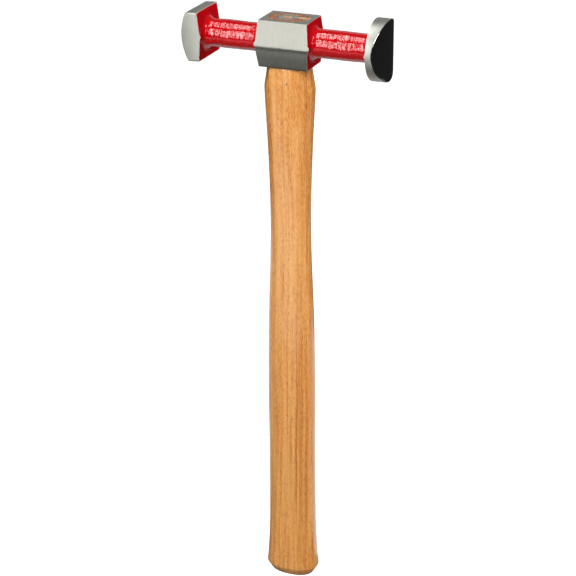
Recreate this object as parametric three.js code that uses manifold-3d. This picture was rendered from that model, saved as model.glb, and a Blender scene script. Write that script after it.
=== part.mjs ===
// A reverse-curve panel beating hammer: a forged steel head with a square and a round striking
// plate, hung on a turned ash handle, and held there by a wooden wedge and a steel ring.
//
// Millimetres, +Z up. The hammer stands on its butt: the origin is the middle of the butt's flat
// end, the handle runs up +Z, and the head lies along X with the square plate at -X.

import * as THREE from 'three';
import { mergeVertices } from 'three/addons/utils/BufferGeometryUtils.js';
import Module from 'manifold-3d';

const wasm = await Module();
wasm.setup();

// ---- driving dimensions ---------------------------------------------------------------------

const GAP = 0.3;                       // clearance between pieces that touch on the real hammer

const EYE_HEIGHT = 316;                // butt end to the axis of the head's necks

const BLOCK_HALF_HEIGHT = 12.25;
const BLOCK_DROP = 0.4;                // the block hangs a little below the necks' axis
const BLOCK_TOP_HALF_DEPTH = 9.9;      // across the cheeks, at the top edge
const BLOCK_BOTTOM_HALF_DEPTH = 9.5;
const CHEEK_RIDGE_HALF_DEPTH = 12;     // the cheeks meet in a soft ridge below the middle
const CHEEK_RIDGE_DROP = 2.4;
const CHEEK_ROUND_ABOVE = 2.2;         // how far from the ridge the cheeks start to round over
const CHEEK_ROUND_BELOW = 4.5;
const BLOCK_HALF_LENGTH = 13.35;       // along the head, at the top and bottom edges
const BLOCK_DRAFT = 1.1;               // the end faces swell by this much at the parting line

const FLASH_HEIGHT = 0.7;              // trimmed forging flash at the parting line
const FLASH_HALF_WIDTH = 1.2;

const NECK_RADIUS = 7.4;
const NECK_FILLET = 3.4;               // the necks flare into the block and the plates
const FLARE_STEPS = 5;
const NECK_ROOT = 2;                   // the necks' ends are sunk this far into the block and plates

const SQUARE_SIDE = 25.8;
const SQUARE_REACH = 55.2;             // head middle to the highest point of the square face
const SQUARE_BACK = 46;                // head middle to the back of the plate, at its edges
const SQUARE_BACK_SWELL = 1.2;         // the back swells towards the neck at the parting line
const SQUARE_CROWN_RADIUS = 28;        // the face is a cylinder that curves up and down
const SQUARE_LEAN = 2.4;               // degrees: the plate's top edge leans outwards
const SQUARE_CORNER = 0.8;

const ROUND_RADIUS = 16;
const ROUND_REACH = 54.4;
const ROUND_BACK = 46.6;
const ROUND_CROWN_RADIUS = 33;         // the face is a cylinder that curves from side to side
const ROUND_BACK_CONE = 1.1;           // the back of the plate is drafted towards the neck

// The eye is an oval hole that narrows to a waist, so that the wedged wood can't pull out.
const EYE = { top: [11.2, 8.0], waist: [10.4, 7.3], bottom: [11.4, 8.1] };
const EYE_OVAL = 2.4;                  // power of the oval: 2 is an ellipse, more is squarer

const RING_CENTRE = [-1.2, 0.5];
const RING_OUTER_RADIUS = 5.25;
const RING_INNER_RADIUS = 2.6;
const RING_HEIGHT = 9;
const RING_TIP_RADIUS = 4.1;           // the ring is sharpened from outside to this circle

const WEDGE_FROM = -4.2;               // the wooden wedge runs from under the ring to the eye's end
const WEDGE_TO = 11.3;
const WEDGE_MIDDLE = 1.0;
const WEDGE_TOP_THICKNESS = 3.4;
const WEDGE_TIP_THICKNESS = 1;
const WEDGE_DEPTH = 17;

// The handle's section is an oval, fuller than an ellipse. Its stations, from the butt upwards:
// height, half width (along the head) and half depth.
const HANDLE_OVAL = 2.3;
const HANDLE_STATIONS = [
  [5, 15.1, 10.2],        // the flare above the butt's chamfer
  [18, 14.15, 9.6],
  [38, 13.55, 9.2],
  [84, 13.2, 9.0],
  [109, 13.4, 9.05],      // the palm swell
  [146, 13.0, 8.8],
  [170, 12.4, 8.4],
  [194, 11.45, 7.85],
  [217, 11.05, 7.6],      // the springy waist
  [240, 11.4, 7.8],
  [262, 12.2, 8.3],
  [283, 13.3, 8.9],
  [291.5, 13.65, 9.1],    // the shoulder, above which the wood is tapered to fit the eye
];
const BUTT_FLAT = [12.0, 7.4];
const SHOULDER_TOP = [11.65, 8.6];
const STATION_STEP = 7.5;

// ---- materials ------------------------------------------------------------------------------

const finish = (color, roughness, metalness) => (
  new THREE.MeshStandardMaterial({ color, roughness, metalness })
);
const paintedSteel = finish(0xb4151c, 0.35, 0.3);
const varnishedAsh = finish(0xdb9c5a, 0.55, 0);
const paleWood = finish(0xe3b98a, 0.7, 0);
const wedgeSteel = finish(0x7d817d, 0.4, 1);

// ---- solids ---------------------------------------------------------------------------------

function solid(geometry) {
  const bare = geometry.clone();
  bare.deleteAttribute('normal');
  bare.deleteAttribute('uv');
  const merged = mergeVertices(bare, 1e-4);
  return new wasm.Manifold(new wasm.Mesh({
    numProp: 3,
    vertProperties: new Float32Array(merged.attributes.position.array),
    triVerts: new Uint32Array(merged.index.array),
  }));
}

function geometryOf(manifold) {
  const { vertProperties, triVerts } = manifold.getMesh();
  const geometry = new THREE.BufferGeometry();
  geometry.setAttribute('position', new THREE.BufferAttribute(new Float32Array(vertProperties), 3));
  geometry.setIndex(new THREE.BufferAttribute(new Uint32Array(triVerts), 1));
  geometry.computeVertexNormals();
  return geometry;
}

// An outline drawn in two axes and extruded along the third, centred on it.
function prism(shape, length, axis, curveSegments = 12) {
  const geometry = new THREE.ExtrudeGeometry(shape, { depth: length, bevelEnabled: false, curveSegments });
  geometry.translate(0, 0, -length / 2);
  if (axis === 'x') {                  // outline (u, v) becomes (y, z)
    geometry.rotateX(Math.PI / 2);
    geometry.rotateZ(Math.PI / 2);
  } else if (axis === 'y') {           // outline (u, v) becomes (x, z)
    geometry.rotateX(Math.PI / 2);
  }
  return solid(geometry);
}

// A profile of (x, radius) points turned round the X axis.
function turnedAboutX(profile, segments) {
  const points = profile.map(([x, radius]) => new THREE.Vector2(radius, x));
  const geometry = new THREE.LatheGeometry(points, segments);
  geometry.rotateZ(-Math.PI / 2);      // the lathe's own axis is Y
  return solid(geometry);
}

// A neck's flare: a quarter circle of (x, radius) points from the neck to a flat face, with the
// face on the side that `towards` points to.
function flare(face, towards) {
  return Array.from({ length: FLARE_STEPS + 1 }, (_, i) => {
    const turn = (i / FLARE_STEPS) * Math.PI / 2;
    const before = NECK_FILLET * (1 - Math.sin(turn));
    return [face - towards * before, NECK_RADIUS + NECK_FILLET * (1 - Math.cos(turn))];
  });
}

// ---- the eye block --------------------------------------------------------------------------

function cheekOutline() {
  const shape = new THREE.Shape();
  const top = BLOCK_HALF_HEIGHT;
  const ridge = new THREE.Vector2(CHEEK_RIDGE_HALF_DEPTH, -CHEEK_RIDGE_DROP);
  const upper = new THREE.Vector2(BLOCK_TOP_HALF_DEPTH, top);
  const lower = new THREE.Vector2(BLOCK_BOTTOM_HALF_DEPTH, -top);
  const above = ridge.clone().add(upper.clone().sub(ridge).setLength(CHEEK_ROUND_ABOVE));
  const below = ridge.clone().add(lower.clone().sub(ridge).setLength(CHEEK_ROUND_BELOW));
  shape.moveTo(-lower.x, lower.y);
  shape.lineTo(lower.x, lower.y);
  shape.lineTo(below.x, below.y);
  shape.quadraticCurveTo(ridge.x, ridge.y, above.x, above.y);
  shape.lineTo(upper.x, upper.y);
  shape.lineTo(-upper.x, upper.y);
  shape.lineTo(-above.x, above.y);
  shape.quadraticCurveTo(-ridge.x, ridge.y, -below.x, below.y);
  shape.closePath();
  return shape;
}

function endOutline() {
  const shape = new THREE.Shape();
  const top = BLOCK_HALF_HEIGHT;
  const middle = BLOCK_HALF_LENGTH + BLOCK_DRAFT;
  shape.moveTo(-BLOCK_HALF_LENGTH, -top);
  for (const side of [1, -1]) {
    const edge = side * BLOCK_HALF_LENGTH;
    shape.lineTo(edge, -side * top);
    shape.lineTo(side * middle, -side * FLASH_HALF_WIDTH);
    shape.lineTo(side * (middle + FLASH_HEIGHT), -side * FLASH_HALF_WIDTH / 2);
    shape.lineTo(side * (middle + FLASH_HEIGHT), side * FLASH_HALF_WIDTH / 2);
    shape.lineTo(side * middle, side * FLASH_HALF_WIDTH);
    shape.lineTo(edge, side * top);
  }
  shape.closePath();
  return shape;
}

function eyeBlock() {
  const wide = 4 * BLOCK_HALF_LENGTH;
  return prism(cheekOutline(), wide, 'x', 6).intersect(prism(endOutline(), wide, 'y'));
}

// ---- the necks and the striking plates ------------------------------------------------------

// One neck: from inside the block, with a flare at both ends, into the plate.
function neck(side, plateBack) {
  const blockFace = BLOCK_HALF_LENGTH + BLOCK_DRAFT;
  const widest = NECK_RADIUS + NECK_FILLET;
  const turned = turnedAboutX([
    [blockFace - NECK_ROOT, 0],
    [blockFace - NECK_ROOT, widest],
    ...flare(blockFace - 0.4, -1).reverse(),
    ...flare(plateBack + 0.4, 1),
    [plateBack + NECK_ROOT, widest],
    [plateBack + NECK_ROOT, 0],
  ], 48);
  return side > 0 ? turned : turned.mirror([1, 0, 0]);
}

// A crowned face: an arc from -halfWidth to +halfWidth whose middle is at the given reach.
function crownArc(shape, reach, radius, halfWidth) {
  const steps = 16;
  for (let i = 0; i <= steps; i += 1) {
    const v = halfWidth * (2 * i / steps - 1);
    shape.lineTo(reach - radius + Math.sqrt(radius * radius - v * v), v);
  }
}

function squarePlate() {
  const half = SQUARE_SIDE / 2;
  const profile = new THREE.Shape();
  const swell = SQUARE_BACK - SQUARE_BACK_SWELL;
  profile.moveTo(SQUARE_BACK, half);
  profile.lineTo(swell, FLASH_HALF_WIDTH);
  profile.lineTo(swell - FLASH_HEIGHT, FLASH_HALF_WIDTH / 2);
  profile.lineTo(swell - FLASH_HEIGHT, -FLASH_HALF_WIDTH / 2);
  profile.lineTo(swell, -FLASH_HALF_WIDTH);
  profile.lineTo(SQUARE_BACK, -half);
  crownArc(profile, SQUARE_REACH, SQUARE_CROWN_RADIUS, half);
  profile.closePath();

  const front = new THREE.Shape();
  const flat = half - SQUARE_CORNER;
  front.moveTo(-flat, -half);
  front.lineTo(flat, -half);
  front.absarc(flat, -flat, SQUARE_CORNER, -Math.PI / 2, 0);
  front.absarc(flat, flat, SQUARE_CORNER, 0, Math.PI / 2);
  front.absarc(-flat, flat, SQUARE_CORNER, Math.PI / 2, Math.PI);
  front.absarc(-flat, -flat, SQUARE_CORNER, Math.PI, 1.5 * Math.PI);

  const sides = prism(front, 4 * SQUARE_REACH, 'x', 3);
  const plate = prism(profile, 2 * SQUARE_SIDE, 'y').intersect(sides);
  return plate.mirror([1, 0, 0])
    .translate([SQUARE_BACK, 0, 0])
    .rotate([0, -SQUARE_LEAN, 0])
    .translate([-SQUARE_BACK, 0, 0]);
}

function roundPlate() {
  const disc = turnedAboutX([
    [ROUND_BACK - ROUND_BACK_CONE, 0],
    [ROUND_BACK - ROUND_BACK_CONE, NECK_RADIUS],
    [ROUND_BACK, ROUND_RADIUS - 0.5],
    [ROUND_BACK + 0.5, ROUND_RADIUS],
    [ROUND_REACH + 1, ROUND_RADIUS],
    [ROUND_REACH + 1, 0],
  ], 72);
  const profile = new THREE.Shape();
  const half = ROUND_RADIUS + 1;
  profile.moveTo(0, half);
  profile.lineTo(0, -half);
  crownArc(profile, ROUND_REACH, ROUND_CROWN_RADIUS, half);
  profile.closePath();
  const crown = prism(profile, 3 * ROUND_RADIUS, 'z');
  const flash = new THREE.Shape();
  flash.moveTo(ROUND_BACK + 1, FLASH_HALF_WIDTH);
  flash.lineTo(ROUND_BACK, FLASH_HALF_WIDTH);
  flash.lineTo(ROUND_BACK - FLASH_HEIGHT, FLASH_HALF_WIDTH / 2);
  flash.lineTo(ROUND_BACK - FLASH_HEIGHT, -FLASH_HALF_WIDTH / 2);
  flash.lineTo(ROUND_BACK, -FLASH_HALF_WIDTH);
  flash.lineTo(ROUND_BACK + 1, -FLASH_HALF_WIDTH);
  flash.closePath();
  return disc.intersect(crown).add(prism(flash, 2 * ROUND_RADIUS - 0.6, 'y'));
}

// ---- the eye --------------------------------------------------------------------------------

const OVAL_POINTS = 40;

function ovalPoint([halfWidth, halfDepth], fullness, index) {
  const angle = 2 * Math.PI * (index / OVAL_POINTS);
  const c = Math.cos(angle);
  const s = Math.sin(angle);
  const power = 2 / fullness;
  return [
    halfWidth * Math.sign(c) * Math.abs(c) ** power,
    halfDepth * Math.sign(s) * Math.abs(s) ** power,
  ];
}

// Half width and half depth of the eye at a height above or below the head's middle.
function eyeSize(height) {
  const end = height > 0 ? EYE.top : EYE.bottom;
  const share = (Math.abs(height) / BLOCK_HALF_HEIGHT) ** 2;
  return [0, 1].map((i) => EYE.waist[i] + (end[i] - EYE.waist[i]) * share);
}

function ovalLevel(z, size, fullness) {
  const points = Array.from({ length: OVAL_POINTS }, (_, k) => ovalPoint(size, fullness, k));
  return { z, points };
}

// A closed skin over a stack of outlines: each level has a height and one point per index.
function skin(levels) {
  const geometry = new THREE.CylinderGeometry(1, 1, 1, OVAL_POINTS, levels.length - 1);
  geometry.rotateX(Math.PI / 2);
  geometry.deleteAttribute('normal');
  geometry.deleteAttribute('uv');
  const merged = mergeVertices(geometry, 1e-5);
  const position = merged.getAttribute('position');
  for (let i = 0; i < position.count; i += 1) {
    const x = position.getX(i);
    const y = position.getY(i);
    const level = levels[Math.round((position.getZ(i) + 0.5) * (levels.length - 1))];
    if (Math.hypot(x, y) < 0.5) {        // the middle of an end cap
      position.setXYZ(i, 0, 0, level.z);
    } else {
      const turn = Math.atan2(y, x) / (2 * Math.PI);
      const index = Math.round((turn + 1) * OVAL_POINTS) % OVAL_POINTS;
      const [px, py] = level.points[index];
      position.setXYZ(i, px, py, level.z);
    }
  }
  return merged;
}

// The levels of the eye's oval, or of what fills it when shrink is more than nothing.
function eyeLevels(shrink, from, to, steps) {
  return Array.from({ length: steps + 1 }, (_, i) => {
    const z = from + (to - from) * (i / steps);
    return ovalLevel(z, eyeSize(z).map((size) => size - shrink), EYE_OVAL);
  });
}

// ---- wedges ---------------------------------------------------------------------------------

function ringSolid(grow) {
  const top = BLOCK_HALF_HEIGHT + (grow > 0 ? 1 : 0);
  const tip = BLOCK_HALF_HEIGHT - RING_HEIGHT - grow;
  const points = [
    [RING_INNER_RADIUS - grow, tip],
    [RING_TIP_RADIUS + grow, tip],
    [RING_OUTER_RADIUS + grow, BLOCK_HALF_HEIGHT],
    [RING_OUTER_RADIUS + grow, top],
    [RING_INNER_RADIUS - grow, top],
    [RING_INNER_RADIUS - grow, tip],
  ].filter(([, z], i, all) => i === 0 || z !== all[i - 1][1] || all[i][0] !== all[i - 1][0]);
  const geometry = new THREE.LatheGeometry(points.map(([r, z]) => new THREE.Vector2(r, z)), 40);
  geometry.rotateX(Math.PI / 2);
  geometry.translate(RING_CENTRE[0], RING_CENTRE[1], 0);
  return solid(geometry);
}

function wedgeSolid(grow) {
  const top = BLOCK_HALF_HEIGHT + (grow > 0 ? 1 : 0);
  const bottom = BLOCK_HALF_HEIGHT - WEDGE_DEPTH - grow;
  const outline = new THREE.Shape();
  const topHalf = WEDGE_TOP_THICKNESS / 2 + grow;
  const tipHalf = WEDGE_TIP_THICKNESS / 2 + grow;
  outline.moveTo(-tipHalf, bottom);
  outline.lineTo(tipHalf, bottom);
  outline.lineTo(topHalf, BLOCK_HALF_HEIGHT);
  if (grow > 0) outline.lineTo(topHalf, top);
  if (grow > 0) outline.lineTo(-topHalf, top);
  outline.lineTo(-topHalf, BLOCK_HALF_HEIGHT);
  outline.closePath();
  const from = WEDGE_FROM - grow;
  const to = grow > 0 ? 2 * WEDGE_TO : WEDGE_TO;      // the kerf runs out through the tongue's end
  return prism(outline, to - from, 'x').translate([(from + to) / 2, WEDGE_MIDDLE, 0]);
}

// ---- the handle -----------------------------------------------------------------------------

function handleLevels() {
  const levels = [ovalLevel(0, BUTT_FLAT, HANDLE_OVAL)];
  const curve = new THREE.CatmullRomCurve3(HANDLE_STATIONS.map((at) => new THREE.Vector3(...at)));
  const spans = HANDLE_STATIONS.length - 1;
  for (let i = 0; i < spans; i += 1) {
    const length = HANDLE_STATIONS[i + 1][0] - HANDLE_STATIONS[i][0];
    const steps = Math.ceil(length / STATION_STEP);
    for (let k = 0; k < steps; k += 1) {
      const at = curve.getPoint((i + k / steps) / spans);
      levels.push(ovalLevel(at.x, [at.y, at.z], HANDLE_OVAL));
    }
  }
  const [shoulder, ...size] = HANDLE_STATIONS[spans];
  levels.push(ovalLevel(shoulder, size, HANDLE_OVAL));
  const underBlock = EYE_HEIGHT - BLOCK_DROP - BLOCK_HALF_HEIGHT - GAP;
  levels.push(ovalLevel(underBlock, SHOULDER_TOP, HANDLE_OVAL));
  return levels;
}

// The tongue fills the eye, from the shoulder to the top of the block.
function tongue() {
  const foot = -BLOCK_HALF_HEIGHT - GAP - 1;
  return solid(skin(eyeLevels(GAP, foot, BLOCK_HALF_HEIGHT, 8)));
}

// ---- assembly -------------------------------------------------------------------------------

function hammerHead() {
  const eye = solid(skin(eyeLevels(0, -BLOCK_HALF_HEIGHT - 0.01, BLOCK_HALF_HEIGHT + 0.01, 8)));
  return eyeBlock()
    .subtract(eye)
    .translate([0, 0, -BLOCK_DROP])
    .add(neck(1, ROUND_BACK - ROUND_BACK_CONE))
    .add(neck(-1, SQUARE_BACK - SQUARE_BACK_SWELL))
    .add(squarePlate())
    .add(roundPlate());
}

function handle() {
  const inEye = tongue()
    .subtract(wedgeSolid(GAP))
    .subtract(ringSolid(GAP))
    .translate([0, 0, EYE_HEIGHT - BLOCK_DROP]);
  return solid(skin(handleLevels())).add(inEye);
}

// The wooden wedge is trimmed to the eye's wall and split by the ring that is driven over it.
function woodWedge() {
  const within = solid(skin(eyeLevels(GAP, -BLOCK_HALF_HEIGHT, BLOCK_HALF_HEIGHT, 8)));
  return wedgeSolid(0).intersect(within).subtract(ringSolid(GAP));
}

function piece(name, manifold, material, height = 0) {
  const mesh = new THREE.Mesh(geometryOf(manifold), material);
  mesh.name = name;
  mesh.position.z = height;
  return mesh;
}

const hammer = new THREE.Group();
hammer.add(piece('hammer_head', hammerHead(), paintedSteel, EYE_HEIGHT));
hammer.add(piece('handle', handle(), varnishedAsh));
hammer.add(piece('wood_wedge', woodWedge(), paleWood, EYE_HEIGHT - BLOCK_DROP));
hammer.add(piece('ring_wedge', ringSolid(0), wedgeSteel, EYE_HEIGHT - BLOCK_DROP));

export default hammer;
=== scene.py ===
# %% [markdown]
# # A panel beating hammer, piece by piece
#
# The real tool is a forged steel head with a square and a round striking plate, hung on a turned
# ash handle and held there by a wooden wedge and a steel ring driven into the end grain. This
# lesson builds those four pieces in Blender, gives each its finish, and lights them.
#
# The sizes follow the measured model that is loaded first. Every length below is written in
# millimetres, because that is how a toolmaker reads a drawing, and is turned into metres once,
# when a finished piece is made into an object.

# %% Load the measured model
import math

import bmesh
import bpy
from mathutils import Matrix, Vector


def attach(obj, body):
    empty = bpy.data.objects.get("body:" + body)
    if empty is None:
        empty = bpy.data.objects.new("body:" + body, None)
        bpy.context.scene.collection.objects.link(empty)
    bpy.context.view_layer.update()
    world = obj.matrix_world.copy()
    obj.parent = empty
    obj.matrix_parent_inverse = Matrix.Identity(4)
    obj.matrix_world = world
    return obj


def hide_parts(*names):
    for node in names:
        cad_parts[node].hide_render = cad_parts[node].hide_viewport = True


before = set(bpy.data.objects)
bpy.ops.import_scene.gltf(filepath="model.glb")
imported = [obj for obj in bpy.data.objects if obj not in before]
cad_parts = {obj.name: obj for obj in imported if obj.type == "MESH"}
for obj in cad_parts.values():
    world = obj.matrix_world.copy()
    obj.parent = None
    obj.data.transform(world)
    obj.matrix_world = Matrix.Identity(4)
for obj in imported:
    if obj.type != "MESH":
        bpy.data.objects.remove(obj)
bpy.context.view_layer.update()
MM = 0.001

print("measured pieces:", sorted(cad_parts))

# %% [markdown]
# ## The camera
#
# The hammer is seen from a little above and from the right of its front, through a long lens, so
# that its two plates keep nearly the same size. A camera could be placed by eye, but it is easier
# to repeat when it is placed on a sphere round the point that it looks at: an angle round the
# hammer, a height above the horizon and a distance.

# %% Camera
scene = bpy.context.scene

LOOK_AT = Vector((-1.96, 0, 177.46)) * MM
LOOK_AROUND = math.radians(22.7)
LOOK_DOWN = math.radians(23.65)
LOOK_ROLL = math.radians(-0.43)
LOOK_DISTANCE = 952.9 * MM
SENSOR_WIDTH = 36
LENS = 109.72


def on_sphere(around, above):
    """A direction from its angle round the hammer, 0 at the front, and its angle above level."""
    level = math.cos(above)
    return Vector((math.sin(around) * level, -math.cos(around) * level, math.sin(above)))


def make_camera():
    data = bpy.data.cameras.new("camera")
    data.lens = LENS
    data.sensor_width = SENSOR_WIDTH
    data.clip_start = 0.05
    data.clip_end = 50
    camera = bpy.data.objects.new("camera", data)
    scene.collection.objects.link(camera)
    outward = on_sphere(LOOK_AROUND, LOOK_DOWN)
    camera.location = LOOK_AT + outward * LOOK_DISTANCE
    aim = (-outward).to_track_quat("-Z", "Y").to_matrix().to_4x4()
    roll = Matrix.Rotation(LOOK_ROLL, 4, "Z")
    camera.rotation_euler = (aim @ roll).to_euler()
    return camera


scene.camera = make_camera()
print("camera at", [round(value, 3) for value in scene.camera.location])

# %% [markdown]
# ## Skins drawn out of a ring
#
# A forged head and a turned handle have one thing in common: cut them anywhere along their
# length and the cut is a closed outline. So both start from one ring of points. The ring is
# extruded along its edge, the new ring is moved to the next outline, and so on to the far end.
# Boxes and cylinders joined by booleans would be quicker, but leave creases where the real
# metal flows from one shape into the other.

# %% Ring helpers
def start_ring(bm, outline):
    """A circle with a point for each place of the outline, moved onto the outline."""
    ring = bmesh.ops.create_circle(bm, segments=len(outline), radius=1)["verts"]
    for vert, place in zip(ring, outline):
        vert.co = place
    return ring


def ring_edges(ring):
    """The edges that join a ring's points to each other."""
    pairs = zip(ring, ring[1:] + ring[:1])
    return [next(e for e in a.link_edges if e.other_vert(a) is b) for a, b in pairs]


def draw_on(bm, ring, outline, finish=0):
    """Extrudes the ring, moves the new ring onto the outline and gives its band a finish."""
    made = bmesh.ops.extrude_edge_only(bm, edges=ring_edges(ring))["geom"]
    new = {part for part in made if isinstance(part, bmesh.types.BMVert)}
    after = []
    for vert in ring:
        after.append(next(e.other_vert(vert) for e in vert.link_edges if e.other_vert(vert) in new))
    for vert, place in zip(after, outline):
        vert.co = place
    for part in made:
        if isinstance(part, bmesh.types.BMFace):
            part.material_index = finish
    return after


def close_ring(bm, ring, centre, finish=0):
    """Draws the ring in to one point, so that the skin has no hole at its end."""
    last = draw_on(bm, ring, [Vector(centre)] * len(ring), finish)
    bmesh.ops.pointmerge(bm, verts=last, merge_co=centre)


def soften(bm, edges, width, segments=2, finish=None):
    """Rounds edges over, and gives the new narrow faces a finish of their own."""
    before = set(bm.faces)
    bmesh.ops.bevel(
        bm,
        geom=list(edges),
        offset=width,
        offset_type="OFFSET",
        affect="EDGES",
        segments=segments,
        profile=0.5,
        material=-1,
        clamp_overlap=True,
    )
    if finish is not None:
        for face in set(bm.faces) - before:
            face.material_index = finish


print("ring helpers ready")

# %% [markdown]
# ## From a bmesh to an object
#
# A finished piece stays at the origin, unturned and unscaled, with its place in its mesh. The
# millimetres become metres here. Faces are shaded smooth, and only edges that turn by more than
# a given angle stay crisp, which keeps ground corners sharp and forged ones soft.

# %% Object helpers
def blank_finish(name):
    """A finish by its name. Its nodes are made in a later cell."""
    return bpy.data.materials.get(name) or bpy.data.materials.new(name)


def make_piece(name, bm, finishes=(), crisp=30):
    """Turns a bmesh in millimetres into an object in metres, with its faces pointing out."""
    bmesh.ops.scale(bm, vec=(MM, MM, MM), verts=bm.verts)
    bmesh.ops.recalc_face_normals(bm, faces=bm.faces)
    mesh = bpy.data.meshes.new(name)
    bm.to_mesh(mesh)
    bm.free()
    for finish in finishes:
        mesh.materials.append(blank_finish(finish))
    mesh.polygons.foreach_set("use_smooth", [True] * len(mesh.polygons))
    mesh.set_sharp_from_angle(angle=math.radians(crisp))
    piece = bpy.data.objects.new(name, mesh)
    scene.collection.objects.link(piece)
    return piece


def cut(piece, tool, crisp=30, operation="DIFFERENCE"):
    """Cuts a piece with a tool, or joins or trims it, applies the result and drops the tool."""
    modifier = piece.modifiers.new("cut", "BOOLEAN")
    modifier.object = tool
    modifier.operation = operation
    modifier.solver = "EXACT"
    scene_graph = bpy.context.evaluated_depsgraph_get()
    result = bpy.data.meshes.new_from_object(piece.evaluated_get(scene_graph))
    piece.modifiers.remove(modifier)
    piece.data = result
    result.name = piece.name
    bpy.data.objects.remove(tool)
    result.set_sharp_from_angle(angle=math.radians(crisp))


def measure(piece):
    """Prints a piece's size in millimetres, its triangles, and whether its skin is closed."""
    bm = bmesh.new()
    bm.from_mesh(piece.data)
    size = [round(value / MM, 2) for value in piece.dimensions]
    triangles = sum(len(face.verts) - 2 for face in bm.faces)
    is_open = sum(1 for edge in bm.edges if not edge.is_manifold)
    print(piece.name, "mm", size, "triangles", triangles, "open edges", is_open)
    bm.free()


print("object helpers ready")

# %% [markdown]
# ## The head's outlines
#
# Along the head there are three kinds of outline: the round neck, the block that holds the eye,
# and the plates. Every outline has the same number of points, so that the skin can run from one
# to the next, and each corner always falls on the same point. Point 0 is at the back (+Y), a
# quarter of the way round is the top.
#
# The block's cheeks are not flat. They slope out from the top to a soft ridge just below the
# middle and in again below it. The block's ends and the plates' backs swell towards the parting
# line, where the two forging dies met and left a low ridge of trimmed flash.

# %% Outlines of the head
POINTS = 96
QUARTER = POINTS // 4
TOP_BACK, TOP_FRONT = 13, 35           # the points on the block's corners
LOW_FRONT, LOW_BACK = 62, 82

NECK_RADIUS = 7.4
NECK_FILLET = 3.4

BLOCK_TOP, BLOCK_BOTTOM = 11.85, -12.65
BLOCK_MIDDLE = (BLOCK_TOP + BLOCK_BOTTOM) / 2
BLOCK_TOP_DEPTH, BLOCK_BOTTOM_DEPTH = 9.9, 9.5
RIDGE = Vector((12.0, -2.8))           # depth and height of the cheek's ridge, if it were sharp
RIDGE_ABOVE, RIDGE_BELOW = 2.2, 4.5    # how far from it the cheek starts to round over

FLASH_HEIGHT = 0.65
FLASH_HALF_WIDTH = 1.2


def circle(radius):
    """Depth and height of each point round a circle."""
    turns = [math.tau * i / POINTS for i in range(POINTS)]
    return [Vector((radius * math.cos(turn), radius * math.sin(turn))) for turn in turns]


def through(anchors):
    """An outline that runs straight from one anchored point to the next, all the way round."""
    keys = sorted(anchors)
    outline = [None] * POINTS
    for key, after in zip(keys, keys[1:] + [keys[0] + POINTS]):
        for i in range(key, after):
            share = (i - key) / (after - key)
            outline[i % POINTS] = anchors[key].lerp(anchors[after % POINTS], share)
    return outline


def cheek_depth(height):
    """How far the cheek stands out from the head's middle at a height."""
    upper = Vector((BLOCK_TOP_DEPTH, BLOCK_TOP))
    lower = Vector((BLOCK_BOTTOM_DEPTH, BLOCK_BOTTOM))
    above = RIDGE + (upper - RIDGE).normalized() * RIDGE_ABOVE
    below = RIDGE + (lower - RIDGE).normalized() * RIDGE_BELOW
    if height >= above.y:
        return above.lerp(upper, (height - above.y) / (upper.y - above.y)).x
    if height <= below.y:
        return below.lerp(lower, (below.y - height) / (below.y - lower.y)).x
    steps = 40
    arc = []
    for i in range(steps + 1):
        share = i / steps
        arc.append(above.lerp(RIDGE, share).lerp(RIDGE.lerp(below, share), share))
    for a, b in zip(arc, arc[1:]):
        if a.y >= height >= b.y:
            return a.lerp(b, (a.y - height) / (a.y - b.y)).x
    return RIDGE.x


def block_outline():
    """The block's outline, with close points at the parting line and round the ridge."""
    heights = {TOP_BACK: BLOCK_TOP, 1: 0.8, 0: 0.2, -1: -1.0, -2: -1.6, -9: -7.2}
    heights[LOW_BACK - POINTS] = BLOCK_BOTTOM
    anchors = {}
    keys = sorted(heights, reverse=True)
    for key, after in zip(keys, keys[1:]):
        for i in range(key, after, -1):
            share = (key - i) / (key - after)
            height = heights[key] + (heights[after] - heights[key]) * share
            anchors[i % POINTS] = Vector((cheek_depth(height), height))
            anchors[(POINTS // 2 - i) % POINTS] = Vector((-cheek_depth(height), height))
    anchors[LOW_BACK] = Vector((BLOCK_BOTTOM_DEPTH, BLOCK_BOTTOM))
    anchors[LOW_FRONT] = Vector((-BLOCK_BOTTOM_DEPTH, BLOCK_BOTTOM))
    return through(anchors)


def square_outline(half, corner):
    """A square with its four corners rounded a little."""
    flat = half - corner
    mid = flat + corner * math.sqrt(0.5)
    anchors = {}
    for k in range(4):
        turn = Matrix.Rotation(k * math.pi / 2, 2)
        first = QUARTER // 2 + k * QUARTER
        for step, place in ((-1, (half, flat)), (0, (mid, mid)), (1, (flat, half))):
            anchors[(first + step) % POINTS] = turn @ Vector(place)
    return through(anchors)


def swell(height, half_height, draft, flash=FLASH_HEIGHT):
    """How far a drafted face stands out at a height above the parting line, flash included."""
    height = abs(height)
    if height >= FLASH_HALF_WIDTH:
        return draft * (half_height - height) / (half_height - FLASH_HALF_WIDTH)
    share = (FLASH_HALF_WIDTH - height) / (FLASH_HALF_WIDTH / 2)
    return draft + flash * min(1, share)


BLOCK = block_outline()
print("block outline, back to front:", BLOCK[TOP_BACK][:], BLOCK[TOP_FRONT][:])

# %% [markdown]
# ## The head, drawn out in one skin
#
# The skin starts in the middle of the square face and ends in the middle of the round one. Both
# faces are crowned: they are parts of cylinders, the square one curved up and down and the round
# one from side to side, which is what makes this a hammer for reverse curves.
#
# Each band of the skin is given its finish as it is drawn, because on the real head the finish
# follows the making: the forging is dipped in red enamel, then the cheeks, the top and the rims
# are ground bare, and the two faces are polished.

# %% Outlines along the head
HEAD_FINISHES = ("ground_rims", "red_enamel", "polished_steel", "feathered_edge_and_glint", "ground_cheeks")
GROUND, ENAMEL, POLISHED, FEATHERED_GLINT, CHEEKS = range(len(HEAD_FINISHES))

HEAD_HEIGHT = 316
BLOCK_HALF_LENGTH = 13.35
BLOCK_DRAFT = 1.1

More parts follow.
